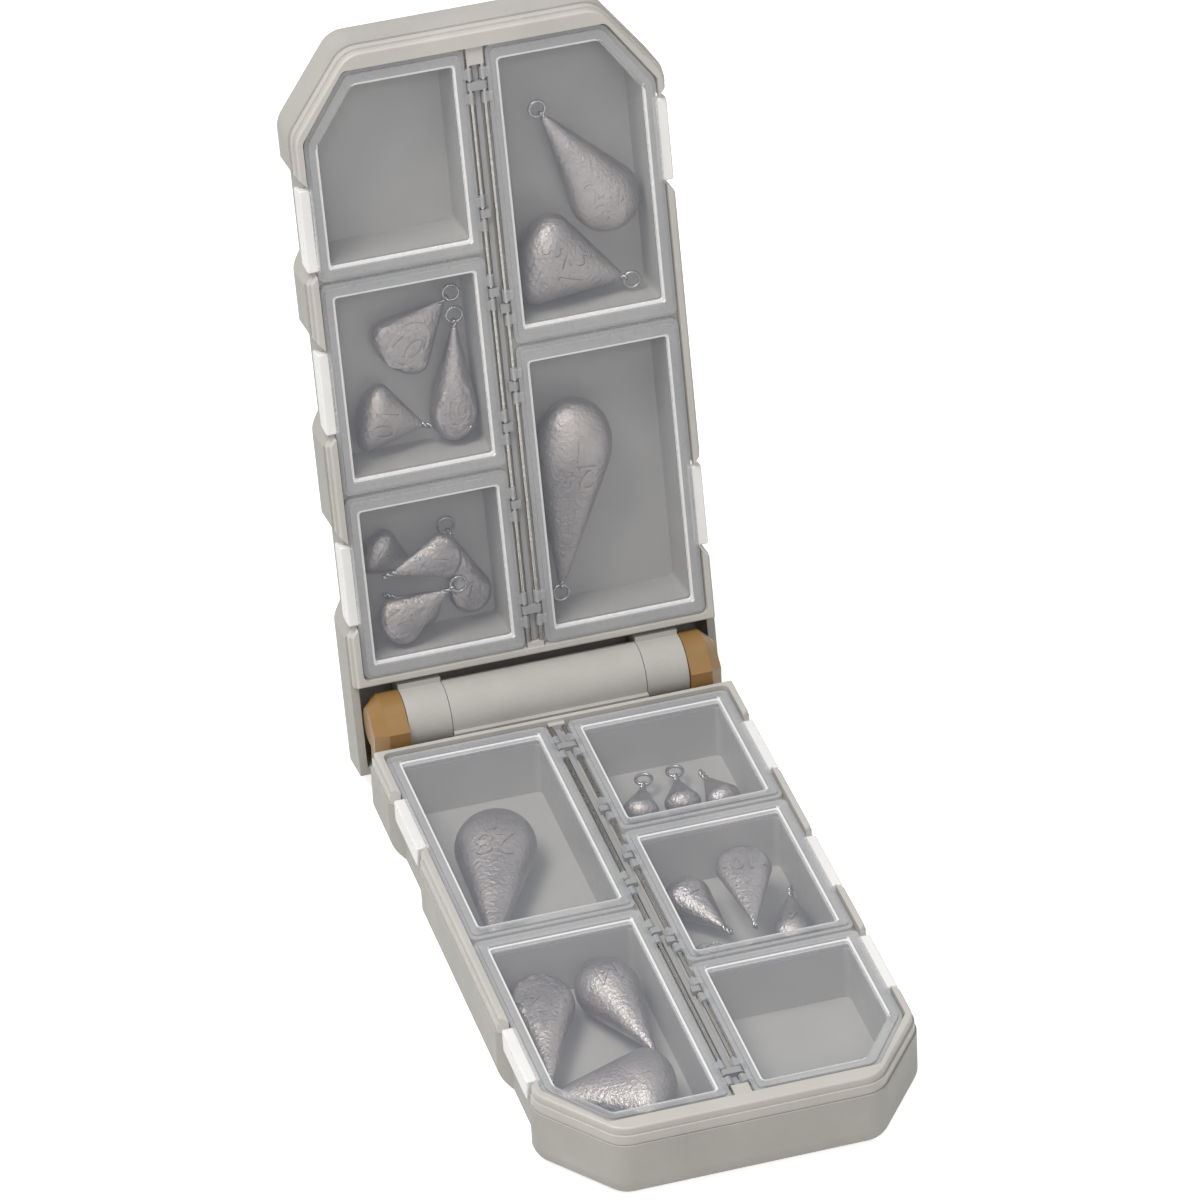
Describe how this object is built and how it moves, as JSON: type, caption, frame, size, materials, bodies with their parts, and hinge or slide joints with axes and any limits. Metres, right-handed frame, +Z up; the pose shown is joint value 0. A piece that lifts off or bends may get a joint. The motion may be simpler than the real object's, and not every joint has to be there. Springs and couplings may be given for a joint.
{
  "type": "rig box",
  "caption": "Shallow two-half tackle box on a barrel hinge, each half a tray of compartments under clear hinged lids with side tabs, holding teardrop sinkers.",
  "frame": {"origin": "middle of the lower case's underside", "axes": "+Z up, +X to the right, -Y to the front; the hinge runs along X at the back of the lower half"},
  "size_m": [0.066, 0.1585, 0.1353],
  "materials": {
    "case_plastic": "fine texture",
    "tray_plastic": "satin",
    "rail_plastic": "satin",
    "lid_plastic": "translucent, slightly milky",
    "cap_plastic": "satin",
    "steel": "bright",
    "lead": "cast, slightly grainy"
  },
  "bodies": {
    "lower_half": {"left_end_cap": "cap_plastic", "lower_a1_sinker_1": "lead", "lower_a2_sinker_1": "lead", "lower_a2_sinker_2": "lead", "lower_a2_sinker_3": "lead", "lower_b1_sinker_1": "lead", "lower_b1_sinker_2": "lead", "lower_b1_sinker_3": "lead", "lower_b2_sinker_1": "lead", "lower_b2_sinker_2": "lead", "lower_b2_sinker_3": "lead", "lower_b2_sinker_4": "lead", "lower_b2_sinker_5": "lead", "lower_case": "case_plastic", "lower_hinge_rail": "rail_plastic", "lower_rod_large": "steel", "lower_rod_small": "steel", "lower_tray": "tray_plastic", "right_end_cap": "cap_plastic"},
    "upper_half": {"hinge_pin": "steel", "upper_a1_sinker_1": "lead", "upper_a2_sinker_1": "lead", "upper_a2_sinker_2": "lead", "upper_b1_sinker_1": "lead", "upper_b1_sinker_2": "lead", "upper_b1_sinker_3": "lead", "upper_b1_sinker_4": "lead", "upper_b1_sinker_5": "lead", "upper_b2_sinker_1": "lead", "upper_b2_sinker_2": "lead", "upper_b2_sinker_3": "lead", "upper_case": "case_plastic", "upper_hinge_rail": "rail_plastic", "upper_rod_large": "steel", "upper_rod_small": "steel", "upper_tray": "tray_plastic"},
    "lower_lid_a1": {"lower_lid_a1": "lid_plastic"},
    "lower_lid_a2": {"lower_lid_a2": "lid_plastic"},
    "lower_lid_b1": {"lower_lid_b1": "lid_plastic"},
    "lower_lid_b2": {"lower_lid_b2": "lid_plastic"},
    "lower_lid_b3": {"lower_lid_b3": "lid_plastic"},
    "upper_lid_a1": {"upper_lid_a1": "lid_plastic"},
    "upper_lid_a2": {"upper_lid_a2": "lid_plastic"},
    "upper_lid_b1": {"upper_lid_b1": "lid_plastic"},
    "upper_lid_b2": {"upper_lid_b2": "lid_plastic"},
    "upper_lid_b3": {"upper_lid_b3": "lid_plastic"}
  },
  "joints": [
    {"name": "main_hinge", "type": "hinge", "parent": "lower_half", "child": "upper_half", "pos_m": [0, 0.06495, 0.0145], "axis": [-1, 0, 0], "range_deg": [-100, 0]},
    {"name": "lower_a1_lid_hinge", "type": "hinge", "parent": "lower_half", "child": "lower_lid_a1", "pos_m": [-0.0012, 0.02895, 0.0131], "axis": [0, 1, 0], "range_deg": [0, 90]},
    {"name": "lower_a2_lid_hinge", "type": "hinge", "parent": "lower_half", "child": "lower_lid_a2", "pos_m": [-0.0012, -0.02705, 0.0131], "axis": [0, 1, 0], "range_deg": [0, 90]},
    {"name": "lower_b1_lid_hinge", "type": "hinge", "parent": "lower_half", "child": "lower_lid_b1", "pos_m": [0.0012, 0.03995, 0.0131], "axis": [0, -1, 0], "range_deg": [0, 90]},
    {"name": "lower_b2_lid_hinge", "type": "hinge", "parent": "lower_half", "child": "lower_lid_b2", "pos_m": [0.0012, 0.00295, 0.0131], "axis": [0, -1, 0], "range_deg": [0, 90]},
    {"name": "lower_b3_lid_hinge", "type": "hinge", "parent": "lower_half", "child": "lower_lid_b3", "pos_m": [0.0012, -0.03505, 0.0131], "axis": [0, -1, 0], "range_deg": [0, 90]},
    {"name": "upper_a1_lid_hinge", "type": "hinge", "parent": "upper_half", "child": "upper_lid_a1", "pos_m": [0.0012, 0.07258, 0.04971], "axis": [0, -0.1736, -0.9848], "range_deg": [0, 70]},
    {"name": "upper_a2_lid_hinge", "type": "hinge", "parent": "upper_half", "child": "upper_lid_a2", "pos_m": [0.0012, 0.0823, 0.10486], "axis": [0, -0.1736, -0.9848], "range_deg": [0, 90]},
    {"name": "upper_b1_lid_hinge", "type": "hinge", "parent": "upper_half", "child": "upper_lid_b1", "pos_m": [-0.0012, 0.07067, 0.03888], "axis": [0, 0.1736, 0.9848], "range_deg": [0, 70]},
    {"name": "upper_b2_lid_hinge", "type": "hinge", "parent": "upper_half", "child": "upper_lid_b2", "pos_m": [-0.0012, 0.07709, 0.07531], "axis": [0, 0.1736, 0.9848], "range_deg": [0, 90]},
    {"name": "upper_b3_lid_hinge", "type": "hinge", "parent": "upper_half", "child": "upper_lid_b3", "pos_m": [-0.0012, 0.08369, 0.11274], "axis": [0, 0.1736, 0.9848], "range_deg": [0, 90]}
  ]
}
